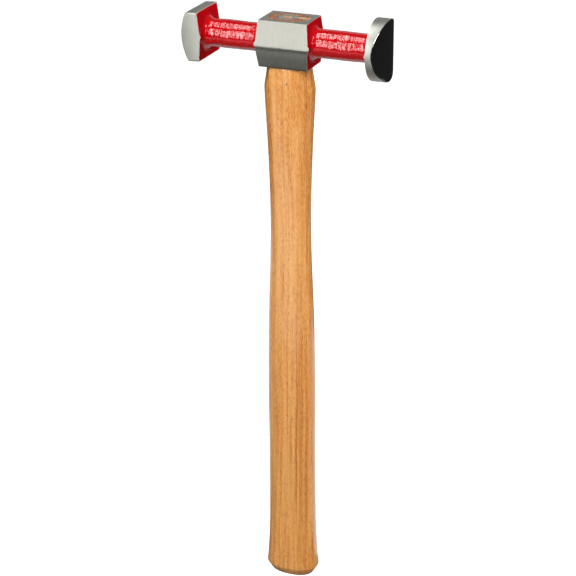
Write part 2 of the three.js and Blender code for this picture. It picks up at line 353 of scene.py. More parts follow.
SQUARE_HALF = 12.9
SQUARE_CORNER = 0.8
SQUARE_REACH = 55.18
SQUARE_BACK = 46
SQUARE_SWELL = 1.2
SQUARE_CROWN = 28
SQUARE_LEAN = math.radians(2.4)

ROUND_RADIUS = 15.99
ROUND_REACH = 54.38
ROUND_BACK = 46.6
ROUND_CONE = 1.1
ROUND_CROWN = 30.5

LEFT_CREST = 29                        # the left neck is a little fuller here than at its ends
LEFT_BARREL = 1.0

FACE_RINGS = 9
FLARE_RINGS = 8
NECK_RINGS = 26
INWARDS = (0.12, 0.4, 0.7, 1)          # shares of the way from an edge in to a neck's flare
OUTWARDS = (0.7, 0.4, 0.12, 0)


def crown(reach, radius, across):
    """How far along the head a crowned face stands at a distance across its curve."""
    return reach - radius + math.sqrt(radius * radius - across * across)


def lean(place, share=1):
    """Tips a place of the square plate about its back edge, so that its top leans outwards."""
    pivot = Vector((-SQUARE_BACK, 0, 0))
    return pivot + Matrix.Rotation(-SQUARE_LEAN * share, 3, "Y") @ (place - pivot)


def square_face(scale):
    """The square face's outline, shrunk towards its middle."""
    shrunk = [point * scale for point in square_outline(SQUARE_HALF, SQUARE_CORNER)]
    return [lean(Vector((-crown(SQUARE_REACH, SQUARE_CROWN, v), u, v))) for u, v in shrunk]


def square_back(share):
    """The back of the square plate: from its edge, share 0, in to the neck's flare, share 1."""
    edge = square_outline(SQUARE_HALF, SQUARE_CORNER)
    flare = circle(NECK_RADIUS + NECK_FILLET)
    places = []
    for outer, inner in zip(edge, flare):
        u, v = outer.lerp(inner, share)
        out = swell(v, SQUARE_HALF, SQUARE_SWELL, FLASH_HEIGHT * (1 - share))
        places.append(lean(Vector((-(SQUARE_BACK - out), u, v)), 1 - share))
    return places


def round_face(scale):
    shrunk = [point * scale for point in circle(ROUND_RADIUS)]
    return [Vector((crown(ROUND_REACH, ROUND_CROWN, u), u, v)) for u, v in shrunk]


def round_back(share):
    """The back of the round plate: a shallow cone with flash across it."""
    edge = circle(ROUND_RADIUS)
    flare = circle(NECK_RADIUS + NECK_FILLET)
    places = []
    for outer, inner in zip(edge, flare):
        u, v = outer.lerp(inner, share)
        flash = swell(v, ROUND_RADIUS, 0, FLASH_HEIGHT * (1 - share))
        places.append(Vector((ROUND_BACK - ROUND_CONE * share - flash, u, v)))
    return places


def block_end(side, share):
    """An end of the block: from its edge, share 0, in to the neck's flare, share 1."""
    flare = circle(NECK_RADIUS + NECK_FILLET)
    places = []
    for outer, inner in zip(BLOCK, flare):
        u, v = outer.lerp(inner, share)
        half = (BLOCK_TOP - BLOCK_BOTTOM) / 2
        out = swell(v - BLOCK_MIDDLE, half, BLOCK_DRAFT, FLASH_HEIGHT * (1 - share))
        places.append(Vector((side * (BLOCK_HALF_LENGTH + out), u, v)))
    return places


def flare_ring(root, away, turn):
    """One ring of a neck's fillet. Turn runs from 0 at the face it grows from to 1 at the neck."""
    angle = turn * math.pi / 2
    radius = NECK_RADIUS + NECK_FILLET * (1 - math.sin(angle))
    rise = NECK_FILLET * (1 - math.cos(angle))
    level = sum(place.x for place in root) / POINTS
    places = []
    for place, point in zip(root, circle(radius)):
        foot = place.x + (level - place.x) * turn
        places.append(Vector((foot + away * rise, point.x, point.y)))
    return places


def neck_ring(x):
    """A ring of the neck. A forging is never quite round, so it wanders by hundredths."""
    wander = 0.02 * math.sin(0.9 * x) + 0.03 * math.sin(0.37 * x + 2)
    if x < 0:
        wander -= LEFT_BARREL * ((x + LEFT_CREST) / LEFT_CREST) ** 2
    places = []
    for point in circle(NECK_RADIUS):
        angle = math.atan2(point.y, point.x)
        uneven = wander + 0.05 * math.sin(2 * angle + 0.21 * x) + 0.03 * math.sin(3 * angle - 0.33 * x)
        out = point * (1 + uneven / NECK_RADIUS)
        places.append(Vector((x, out.x, out.y)))
    return places


drop = SQUARE_REACH - crown(SQUARE_REACH, SQUARE_CROWN, SQUARE_HALF)
print("square face crowned by", round(drop, 2), "mm")

# %% Draw out the head
def draw_flare(bm, ring, root, away, outwards):
    """Draws a fillet, from the face to the neck or, if outwards, from the neck to the face."""
    turns = [i / FLARE_RINGS for i in range(1, FLARE_RINGS + 1)]
    if outwards:
        turns = [1 - turn for turn in turns]
    for turn in turns:
        ring = draw_on(bm, ring, flare_ring(root, away, turn), ENAMEL)
    return ring


def draw_neck(bm, ring, start, end):
    for i in range(1, NECK_RINGS):
        ring = draw_on(bm, ring, neck_ring(start + (end - start) * i / NECK_RINGS), ENAMEL)
    return ring


def draw_head(bm):
    """Draws the whole head and returns the rings that are edges between two finishes."""
    edges = {}
    ring = start_ring(bm, square_face(1 / FACE_RINGS))
    first = ring
    for i in range(2, FACE_RINGS + 1):
        ring = draw_on(bm, ring, square_face(i / FACE_RINGS), POLISHED)
    edges["square face"] = ring
    ring = draw_on(bm, ring, square_back(0), GROUND)
    edges["square back"] = ring
    for share in INWARDS:
        ring = draw_on(bm, ring, square_back(share), ENAMEL)
    ring = draw_flare(bm, ring, square_back(1), 1, outwards=False)
    left, right = ring[0].co.x, -(BLOCK_HALF_LENGTH + BLOCK_DRAFT + NECK_FILLET)
    ring = draw_neck(bm, ring, left, right)
    ring = draw_flare(bm, draw_on(bm, ring, flare_ring(block_end(-1, 1), -1, 1), ENAMEL),
                      block_end(-1, 1), -1, outwards=True)
    for share in OUTWARDS:
        ring = draw_on(bm, ring, block_end(-1, share), ENAMEL)
    edges["block left"] = ring
    ring = draw_on(bm, ring, block_end(1, 0), GROUND)
    edges["block right"] = ring
    for share in INWARDS:
        ring = draw_on(bm, ring, block_end(1, share), ENAMEL)
    ring = draw_flare(bm, ring, block_end(1, 1), 1, outwards=False)
    left, right = ring[0].co.x, ROUND_BACK - ROUND_CONE - NECK_FILLET
    ring = draw_neck(bm, ring, left, right)
    ring = draw_flare(bm, draw_on(bm, ring, flare_ring(round_back(1), -1, 1), ENAMEL),
                      round_back(1), -1, outwards=True)
    for share in OUTWARDS:
        ring = draw_on(bm, ring, round_back(share), ENAMEL)
    edges["round back"] = ring
    ring = draw_on(bm, ring, round_face(1), GROUND)
    edges["round face"] = ring
    for i in range(FACE_RINGS - 1, 0, -1):
        ring = draw_on(bm, ring, round_face(i / FACE_RINGS), POLISHED)
    close_ring(bm, ring, (ROUND_REACH, 0, 0), POLISHED)
    close_ring(bm, first, lean(Vector((-SQUARE_REACH, 0, 0))), POLISHED)
    return edges


head_bm = bmesh.new()
head_edges = draw_head(head_bm)
print("head skin:", len(head_bm.faces), "faces")

# %% [markdown]
# ## Edges of the head
#
# No edge on a real tool is sharp. The rims of the faces are eased so that they don't mark the
# sheet metal. Where the grinder cut through the enamel it left a feathered edge of chipped paint.
# Those narrow bevels get a finish of their own, whose pale colour is partly a painted highlight.

# %% Ease the head's edges
FACE_EASE = 0.25
GROUND_EASE = 0.28
HEAD_CRISP = 20

face_edges = ring_edges(head_edges["square face"]) + ring_edges(head_edges["round face"])
soften(head_bm, face_edges, FACE_EASE, 3, POLISHED)

ground_edges = []
for name in ("square back", "block left", "block right", "round back"):
    ground_edges += ring_edges(head_edges[name])
for corner in (TOP_BACK, TOP_FRONT, LOW_FRONT, LOW_BACK):
    a, b = head_edges["block left"][corner], head_edges["block right"][corner]
    ground_edges.append(head_bm.edges.get((a, b)))
# these bevels get the chipped edge finish, whose pale colour is partly a painted highlight
soften(head_bm, ground_edges, GROUND_EASE, 2, FEATHERED_GLINT)
for face in head_bm.faces:
    face.normal_update()
    if face.material_index == FEATHERED_GLINT and abs(face.normal.x) < 0.2:
        face.material_index = GROUND   # the block's long edges have no enamel beside them
    if face.material_index == GROUND and abs(face.normal.y) > 0.9:     # front or back, not a rim
        if abs(face.calc_center_median().x) < BLOCK_HALF_LENGTH:
            face.material_index = CHEEKS

bmesh.ops.translate(head_bm, vec=(0, 0, HEAD_HEIGHT), verts=head_bm.verts)
head = make_piece("forged_head", head_bm, HEAD_FINISHES, crisp=HEAD_CRISP)
measure(head)

# %% [markdown]
# ## The eye
#
# The eye is the oval hole that the handle goes through. It is narrowest in the middle, so that
# the wedged wood can't pull out either way. A cutter of that shape is drawn out of a ring, like
# the head itself, and then taken away from the block: a boolean is the plain way to drill.

# %% Cut the eye
EYE_TOP, EYE_WAIST, EYE_BOTTOM = Vector((11.2, 8.0)), Vector((10.4, 7.3)), Vector((11.4, 8.1))
EYE_OVAL = 2.4                         # 2 would be an ellipse, more is squarer
EYE_POINTS = 72
BLOCK_CENTRE = HEAD_HEIGHT + BLOCK_MIDDLE
BLOCK_HALF_HEIGHT = (BLOCK_TOP - BLOCK_BOTTOM) / 2


def oval(half_width, half_depth, fullness, height, points):
    """A level outline that is fuller than an ellipse."""
    places = []
    for i in range(points):
        c, s = math.cos(math.tau * i / points), math.sin(math.tau * i / points)
        u = math.copysign(abs(c) ** (2 / fullness), c)
        v = math.copysign(abs(s) ** (2 / fullness), s)
        places.append(Vector((half_width * u, half_depth * v, height)))
    return places


def eye_outline(height, shrink):
    """The eye's oval at a height above or below the block's middle."""
    end = EYE_TOP if height > 0 else EYE_BOTTOM
    share = min(1, abs(height) / BLOCK_HALF_HEIGHT) ** 2
    size = EYE_WAIST.lerp(end, share)
    return oval(size.x - shrink, size.y - shrink, EYE_OVAL, BLOCK_CENTRE + height, EYE_POINTS)


def eye_plug(name, shrink, low, high, steps=10):
    """A solid of the eye's shape, smaller all round by the shrink."""
    bm = bmesh.new()
    heights = [low + (high - low) * i / steps for i in range(steps + 1)]
    ring = start_ring(bm, eye_outline(heights[0], shrink))
    close_ring(bm, ring, (0, 0, BLOCK_CENTRE + low))
    for height in heights[1:]:
        ring = draw_on(bm, ring, eye_outline(height, shrink))
    close_ring(bm, ring, (0, 0, BLOCK_CENTRE + high))
    return make_piece(name, bm)


cut(head, eye_plug("eye_cutter", 0, -BLOCK_HALF_HEIGHT - 1, BLOCK_HALF_HEIGHT + 1), HEAD_CRISP)
enamelled = set()
bare = set()
for polygon in head.data.polygons:
    touched = enamelled if polygon.material_index == ENAMEL else bare
    touched.update(polygon.edge_keys)
for edge in head.data.edges:
    if edge.key in enamelled and edge.key not in bare:
        edge.use_edge_sharp = False    # enamel runs over a forged edge and rounds it
measure(head)

# %% [markdown]
# ## The handle
#
# The handle is turned from ash on a copying lathe. Its section is an oval a little fuller than an
# ellipse: wide along the head, so that the hand can feel which way the face points. It swells in
# the palm, thins to a springy waist and widens again under the head. The list of stations is what
# a turner would have on a pattern, and a curve through them gives the outlines in between.
#
# Under the head the two sides are rasped flat to fit the eye, and the four corners beside them
# are taken off too. Those six flats are cut with planes, as the rasp does, and not modelled as
# points, so that their curved edges come out by themselves.

# %% Handle outlines
HANDLE_POINTS = 72
HANDLE_OVAL = 2.3
STATIONS = [                           # height, half width and half depth
    (5, 15.1, 10.2),
    (18, 14.15, 9.6),
    (38, 13.55, 9.2),
    (84, 13.2, 9.0),
    (109, 13.4, 9.05),
    (146, 13.0, 8.8),
    (170, 12.4, 8.4),
    (194, 11.45, 7.85),
    (217, 11.05, 7.6),
    (240, 11.4, 7.8),
    (262, 12.2, 8.3),
    (283, 13.3, 8.9),
    (291.5, 13.65, 9.1),
]
BUTT_FLAT = Vector((12.0, 7.4))
SHOULDER_TOP = 303.05
SHOULDER_WIDTHS = (13.75, 13.95)       # half widths at the shoulder's foot and top
SHOULDER_DEPTHS = (9.1, 8.6)           # half depths there
SHOULDER_RINGS = 4
FLAT_FOOT = 290.5                      # the height where the rasped flats start
SIDE_REACH = 13.75                     # how far from the middle the two side flats start
SIDE_LEAN = math.radians(9.7)
CORNER_WAY = math.radians(57)          # the four corner flats face this far round from the front
CORNER_REACH = 12.65
CORNER_LEAN = math.radians(8)
LEVEL_STEP = 3


def along(stations, height):
    """The half width and half depth at a height, on a smooth curve through the stations."""
    last = len(stations) - 2
    i = min(last, max(0, sum(1 for s in stations[1:] if s[0] <= height)))
    points = [Vector(stations[min(max(k, 0), last + 1)]) for k in (i - 1, i, i + 1, i + 2)]
    before, start, end, after = points
    span = end.x - start.x
    t = (height - start.x) / span
    leave = (end - before) * (span / max(end.x - before.x, 1e-6))
    arrive = (after - start) * (span / max(after.x - start.x, 1e-6))
    a, b = 2 * t ** 3 - 3 * t ** 2 + 1, t ** 3 - 2 * t ** 2 + t
    c, d = -2 * t ** 3 + 3 * t ** 2, t ** 3 - t ** 2
    return start * a + leave * b + end * c + arrive * d


def between(ends, share):
    """A number a share of the way from one end to the other."""
    return ends[0] + (ends[1] - ends[0]) * share


def handle_ring(height):
    _, half_width, half_depth = along(STATIONS, height)
    return oval(half_width, half_depth, HANDLE_OVAL, height, HANDLE_POINTS)


print("waist:", [round(value, 2) for value in along(STATIONS, 217)])

# %% Draw out the handle
SIDE_GRAIN, END_GRAIN = range(2)
BUTT_EASE = 0.45

handle_bm = bmesh.new()
butt_ring = start_ring(handle_bm, oval(*BUTT_FLAT, HANDLE_OVAL, 0, HANDLE_POINTS))
close_ring(handle_bm, butt_ring, (0, 0, 0))
flare_foot = draw_on(handle_bm, butt_ring, handle_ring(STATIONS[0][0]))
ring = flare_foot
height = STATIONS[0][0] + LEVEL_STEP
while height < STATIONS[-1][0]:
    ring = draw_on(handle_bm, ring, handle_ring(height))
    height += LEVEL_STEP
ring = draw_on(handle_bm, ring, handle_ring(STATIONS[-1][0]))
for i in range(1, SHOULDER_RINGS + 1):
    share = i / SHOULDER_RINGS
    level = between((STATIONS[-1][0], SHOULDER_TOP), share)
    width, depth = between(SHOULDER_WIDTHS, share), between(SHOULDER_DEPTHS, share)
    ring = draw_on(handle_bm, ring, oval(width, depth, HANDLE_OVAL, level, HANDLE_POINTS))
close_ring(handle_bm, ring, (0, 0, SHOULDER_TOP))


def rasp_flat(bm, way, reach, foot, lean_in):
    """Cuts a flat that faces a compass way, starts at a foot height and leans in above it."""
    facing = Vector((math.sin(way), -math.cos(way), 0))
    made = bmesh.ops.bisect_plane(
        bm,
        geom=bm.verts[:] + bm.edges[:] + bm.faces[:],
        dist=1e-4,
        plane_co=facing * reach + Vector((0, 0, foot)),
        plane_no=facing * math.cos(lean_in) + Vector((0, 0, math.sin(lean_in))),
        clear_outer=True,
    )
    rim = [part for part in made["geom_cut"] if isinstance(part, bmesh.types.BMEdge)]
    bmesh.ops.contextual_create(bm, geom=rim)


for side in (1, -1):
    rasp_flat(handle_bm, side * math.radians(90), SIDE_REACH, FLAT_FOOT, SIDE_LEAN)
    rasp_flat(handle_bm, side * CORNER_WAY, CORNER_REACH, FLAT_FOOT, CORNER_LEAN)
    rasp_flat(handle_bm, math.pi - side * CORNER_WAY, CORNER_REACH, FLAT_FOOT, CORNER_LEAN)

soften(handle_bm, ring_edges(butt_ring) + ring_edges(flare_foot), BUTT_EASE, 3)
handle = make_piece("ash_handle", handle_bm, ("varnished_ash", "oiled_end_grain"), crisp=12)
measure(handle)

# %% [markdown]
# ## Wedges
#
# When the tongue of the handle is in the eye, a flat wooden wedge is driven into a sawn kerf,
# and a steel ring over it, which spreads the wood in every direction. Everything is then ground
# off flush with the top of the block. The tongue, its kerf and the ring's seat are cut from one
# solid of the eye's shape, so that every piece follows its neighbour as the real ones do.

# %% Make the tongue and the wedges
FIT = 0.05                             # the gap between neighbours, but in the top few millimetres
                                       # the tongue overlaps the head and the wedge by up to 0.03
FLUSH = BLOCK_HALF_HEIGHT

RING_CENTRE = Vector((-1.2, 0.5, BLOCK_CENTRE))
RING_OUTER, RING_INNER, RING_TIP = 5.25, 2.6, 4.1
RING_DEPTH = 9
RING_EASE = 0.15
RING_STEP = 1                          # edges round the ring are shorter, those across it longer
WEDGE_FROM, WEDGE_TO, WEDGE_MIDDLE = -4.2, 12.5, 1.0
WEDGE_THICK, WEDGE_TIP = 3.4, 1.0
WEDGE_DEPTH = 17


def ring_wedge(name, grow, ease=0):
    """The steel ring, turned from its section, or the seat for it when it is grown."""
    top = FLUSH + (1 if grow else 0)
    tip = FLUSH - RING_DEPTH - grow
    section = [
        (RING_INNER - grow, tip),
        (RING_TIP + grow, tip),
        (RING_OUTER + grow, FLUSH),
        (RING_OUTER + grow, top),
        (RING_INNER - grow, top),
    ]
    if not grow:
        section.pop(2)                 # the ring ends flush, where two of these corners are one
    bm = bmesh.new()
    verts = [bm.verts.new((radius, 0, height)) for radius, height in section]
    edges = [bm.edges.new(pair) for pair in zip(verts, verts[1:] + verts[:1])]
    bmesh.ops.spin(
        bm, geom=verts + edges, cent=(0, 0, 0), axis=(0, 0, 1), angle=math.tau, steps=64,
        use_merge=True,
    )
    bmesh.ops.translate(bm, vec=RING_CENTRE, verts=bm.verts)
    if ease:
        level = RING_CENTRE.z + FLUSH - 0.01
        upper = [e for e in bm.edges if min(v.co.z for v in e.verts) > level]
        soften(bm, [e for e in upper if e.calc_length() < RING_STEP], ease)
    return make_piece(name, bm, ("wedge_steel",), crisp=40)


def wood_wedge(name, grow):
    """The wooden wedge: a block squeezed thin at its tip, or the kerf for it when it is grown."""
    bm = bmesh.new()
    box = bmesh.ops.create_cube(bm, size=1)["verts"]
    top = FLUSH + (1 if grow else 0)
    low = FLUSH - WEDGE_DEPTH - grow
    for vert in box:
        upper = vert.co.z > 0
        half = (WEDGE_THICK if upper else WEDGE_TIP) / 2 + grow
        x = WEDGE_TO if vert.co.x > 0 else WEDGE_FROM - grow
        y = WEDGE_MIDDLE + math.copysign(half, vert.co.y)
        vert.co = (x, y, BLOCK_CENTRE + (top if upper else low))
    bmesh.ops.subdivide_edges(bm, edges=bm.edges, cuts=3, use_grid_fill=True)
    return make_piece(name, bm, ("pale_wedge_wood",))


tongue = eye_plug("tongue", FIT, -BLOCK_HALF_HEIGHT - 1.4, BLOCK_HALF_HEIGHT)
cut(tongue, wood_wedge("kerf", FIT))
cut(tongue, ring_wedge("ring_seat", FIT))
cut(handle, tongue, 12, "UNION")

wedge = wood_wedge("pale_wedge", 0)
cut(wedge, eye_plug("trim", FIT, -BLOCK_HALF_HEIGHT, BLOCK_HALF_HEIGHT), operation="INTERSECT")
cut(wedge, ring_wedge("split", FIT))
ring_piece = ring_wedge("steel_ring", 0, RING_EASE)
for piece in (handle, wedge, ring_piece):
    measure(piece)

# %% [markdown]
# ## Shader maths as arithmetic
#
# A finish is a small calculation: grain plus pores, times some wear. Blender's node editor would
# draw it as a tangle of Math nodes. The class below wraps one output of a node, so that ordinary
# Python arithmetic adds those nodes: `1 - pores * 0.5` reads like what it does. Every other kind
# of node comes from one method, which sets the node up first and then plugs in its inputs.

# %% Shader helper
class Value:
    """One output of a node. Arithmetic on it adds Math nodes to the same tree."""

    def __init__(self, finish, socket):
        self.finish = finish
        self.socket = socket

    def maths(self, operation, *terms, clamp=False):
        settings = {"operation": operation, "use_clamp": clamp}
        return self.finish.add("ShaderNodeMath", settings, dict(enumerate(terms)))

    def __add__(self, other):
        return self.maths("ADD", self, other)

    def __sub__(self, other):
        return self.maths("SUBTRACT", self, other)

    def __rsub__(self, other):
        return self.maths("SUBTRACT", other, self)

    def __mul__(self, other):
        return self.maths("MULTIPLY", self, other)

    def __truediv__(self, other):
        return self.maths("DIVIDE", self, other)

    def __abs__(self):
        return self.maths("ABSOLUTE", self)

    __radd__ = __add__
    __rmul__ = __mul__

    def clip(self):
        """The value, kept between 0 and 1."""
        return self.maths("MULTIPLY", self, 1, clamp=True)

    def fract(self):
        """What is left over a whole number, which makes a value repeat."""
        return self.maths("FRACT", self)

    def step(self, low, high):
        """0 below low, 1 above high, and a smooth rise in between."""
        settings = {"interpolation_type": "SMOOTHSTEP", "clamp": True}
        inputs = {"Value": self, "From Min": low, "From Max": high}
        return self.finish.add("ShaderNodeMapRange", settings, inputs)


class Finish:
    """A material, or the sky, while its nodes are being made."""

    def __init__(self, owner):
        owner.use_nodes = True
        self.owner = owner
        self.tree = owner.node_tree
        self.tree.nodes.clear()

    def add(self, kind, settings=None, inputs=None, out=0):
        """Adds a node, sets it up, fills its inputs and returns one of its outputs."""
        node = self.tree.nodes.new(kind)
        for name, setting in (settings or {}).items():
            setattr(node, name, setting)
        for name, given in (inputs or {}).items():
            if isinstance(given, Value):
                self.tree.links.new(given.socket, node.inputs[name])
            else:
                node.inputs[name].default_value = given
        return Value(self, node.outputs[out]) if node.outputs else None

    def place(self):
        """Where on the piece a point is, in metres."""
        return self.add("ShaderNodeTexCoord", out="Object")

    def spot(self, x, y, z, centre, size):
        """One inside a small ball of a given place and size in millimetres, and 0 outside it."""
        parts = [(part / MM - at) / half for part, at, half in zip((x, y, z), centre, size)]
        square = sum((part * part for part in parts), 0)
        return 1 - square.step(0.4, 1.2)

    def axes(self, vector):
        """The x, y and z of a vector, as three values."""
        split = self.add("ShaderNodeSeparateXYZ", inputs={"Vector": vector})
        return [Value(self, socket) for socket in split.socket.node.outputs]

    def grain(self, place, size, detail=2, roughness=0.5, shift=(0, 0, 0)):
        """Noise whose patches have the given size in millimetres along X, Y and Z."""
        scale = [1 / (MM * length) for length in size]
        mapped = self.add("ShaderNodeMapping", inputs={"Vector": place, "Scale": scale,
                                                       "Location": shift})
        inputs = {"Vector": mapped, "Scale": 1, "Detail": detail, "Roughness": roughness}
        return self.add("ShaderNodeTexNoise", {"noise_dimensions": "3D"}, inputs)

    def mix(self, share, a, b, blend="MIX"):
        """Mixes two colours, each a tuple or the output of a node."""
        def as_colour(c):
            return c if isinstance(c, Value) else (*c, 1)
        settings = {"data_type": "RGBA", "blend_type": blend, "clamp_factor": True}
        return self.add("ShaderNodeMix", settings, {0: share, 6: as_colour(a), 7: as_colour(b)}, out=2)

    def bump(self, height, distance):
        """A Bump node. The distance is the depth of the relief in millimetres."""
        inputs = {"Height": height, "Distance": distance * MM, "Strength": 1}
        return self.add("ShaderNodeBump", inputs=inputs)

    def surface(self, **sockets):
        """The shader itself. Underscores in the names stand for spaces."""
        inputs = {}
        for name, given in sockets.items():
            if isinstance(given, tuple) and len(given) == 3:
                given = (*given, 1)
            inputs[name.replace("_", " ")] = given
        shader = self.add("ShaderNodeBsdfPrincipled", inputs=inputs)
        self.add("ShaderNodeOutputMaterial", inputs={"Surface": shader})
        return self.owner


def new_finish(name):
    return Finish(blank_finish(name))


print("shader helper ready")

# %% [markdown]
# ## Ground steel
#
# The cheeks and rims come off a belt, which leaves parallel marks. They are noise stretched along
# one way, used three times: as a bump, as streaks of lighter metal and as small changes in
# roughness. One recipe makes both. The cheeks' marks are fine and run up and down, and anisotropy
# on the shader does what is too fine to draw: it spreads a reflection sideways, across the marks,
# far more than along them. The rims' marks are coarser and duller and run round the plates.

# %% Ground steel
def ground_steel(name, dark, light, rough, marks, anisotropy):
    """Belt-ground steel, with marks of the given size in millimetres along X, Y and Z."""
    steel = new_finish(name)
    place = steel.place()
    fine = steel.grain(place, marks, 3, 0.6)
    broad = steel.grain(place, [3.5 * length for length in marks], 2, 0.5, (3, 7, 1))
    cloud = steel.grain(place, (9, 9, 12), 2, 0.5)
    tone = (fine - 0.5) * 0.5 + (broad - 0.5) * 0.6 + (cloud - 0.5) * 0.35
    colour = steel.mix((tone + 0.5).clip(), dark, light)
    relief = steel.bump(fine + broad * 0.5, 0.006)
    return steel.surface(Base_Color=colour, Metallic=1.0, Roughness=rough + tone * 0.2,
                         Anisotropic=anisotropy, Normal=relief)


cheek_finish = ground_steel("ground_cheeks", (0.150, 0.148, 0.132), (0.320, 0.317, 0.283), 0.38,
                            (0.28, 0.28, 9), 0.85)
rim_finish = ground_steel("ground_rims", (0.28, 0.282, 0.256), (0.41, 0.41, 0.365), 0.50,
                          (0.5, 3.0, 3.0), 0)
print("made", cheek_finish.name, "and", rim_finish.name)

# %% [markdown]
# ## Polished faces
#
# The two faces are polished after grinding, since every mark on them would be printed into the
# sheet metal. They still carry faint straight hairlines. They look dark or bright depending only
# on what they mirror, so the base colour is that of plain steel.

# %% Polished steel
def polished_steel():
    steel = new_finish("polished_steel")
    place = steel.place()
    hairs = steel.grain(place, (0.3, 0.35, 14), 2, 0.6)
    cloud = steel.grain(place, (5, 5, 7), 2, 0.5)
    colour = steel.mix(cloud, (0.44, 0.44, 0.43), (0.56, 0.56, 0.54))
    rough = 0.13 + (hairs - 0.5) * 0.12
    relief = steel.bump(hairs, 0.0012)
    return steel.surface(Base_Color=colour, Metallic=1.0, Roughness=rough, Anisotropic=0.4,
                         Normal=relief)


polish_finish = polished_steel()
print("made", polish_finish.name)

# %% [markdown]
# ## Red enamel
#
# The forging is turned roughly before it is dipped, so the thick glossy enamel lies over fine
# ridges that run round the necks. They break a lamp's reflection into short strokes. Slower
# waviness, as in orange peel, bends those strokes. Enamel is a coloured coat with a clear shine,
# which the shader's base colour and its specular layer give without any trick.

# %% Red enamel
def red_enamel():
    paint = new_finish("red_enamel")
    place = paint.place()
    ridges = paint.grain(place, (0.8, 4.2, 4.2), 1, 0.5)
    peel = paint.grain(place, (2.2, 3.0, 3.0), 2, 0.6, (5, 2, 9))
    thick = paint.grain(place, (6, 6, 6), 2, 0.5)
    colour = paint.mix(thick, (0.50, 0.000, 0.003), (0.60, 0.001, 0.006))
    rough = 0.05 + ridges * 0.05
    relief = paint.bump(ridges * 0.9 + peel * 0.3, 0.30)
    return paint.surface(Base_Color=colour, Roughness=rough, Normal=relief, IOR=1.5)


enamel_finish = red_enamel()
print("made", enamel_finish.name)

# %% [markdown]
# ## The bright line beside the enamel
#
# Where the belt broke through the enamel its edge is feathered into chipped paint. The line is
# painted paler than either the paint or the steel: a painted highlight along the rounded edge.

# %% Feathered paint edge, with a painted highlight
def feathered_edge_and_glint():
    edge = new_finish("feathered_edge_and_glint")
    place = edge.place()
    chips = edge.grain(place, (0.6, 0.6, 1.4), 2, 0.6)
    # the pale colour is a painted highlight along the edge, mixed with chipped red paint
    colour = edge.mix(chips.step(0.42, 0.66), (0.80, 0.66, 0.62), (0.62, 0.16, 0.15))
    return edge.surface(Base_Color=colour, Metallic=0.35, Roughness=0.45)


edge_finish = feathered_edge_and_glint()
print("made", edge_finish.name)

# %% [markdown]
# ## Varnished ash
#
# Ash is ring-porous: each spring it grows a band of wide vessels, which show on the side of the
# handle as rows of short dark dashes, with plain wood in between. The rings are nearly straight
# planes here, bent a little by slow noise. Their distance from the tree's middle is the value
# that everything else is made from. Two dark growth lines run up the front, and a small knot under
# the head and a nick at the butt are spots of their own. A clear coat over it all is the varnish,
# which darkens the wood and gives its edges a shine.

# %% Varnished ash
YEAR_WIDTH = 3.1                       # a growth ring, in millimetres
PALE_ASH = ((0.920, 0.440, 0.112), (0.960, 0.485, 0.145))      # at the butt and under the head
DEEP_ASH = ((0.720, 0.285, 0.050), (0.790, 0.320, 0.060))
SPRING_TINT = (0.84, 0.68, 0.48)
PORE_TINT = (0.72, 0.50, 0.29)
LINE_TINT = (0.66, 0.44, 0.26)
MARK_COLOUR = (0.10, 0.05, 0.02)
LINE_AT, TWIN_AT = 2.6, 4.3            # the two growth lines' distances across the grain
KNOT_AT, KNOT_SIZE = (1.8, -8.9, 295.2), (0.5, 1.5, 0.75)
NICK_AT, NICK_SIZE = (-3.4, -8.4, 2.3), (1.3, 1.5, 0.6)


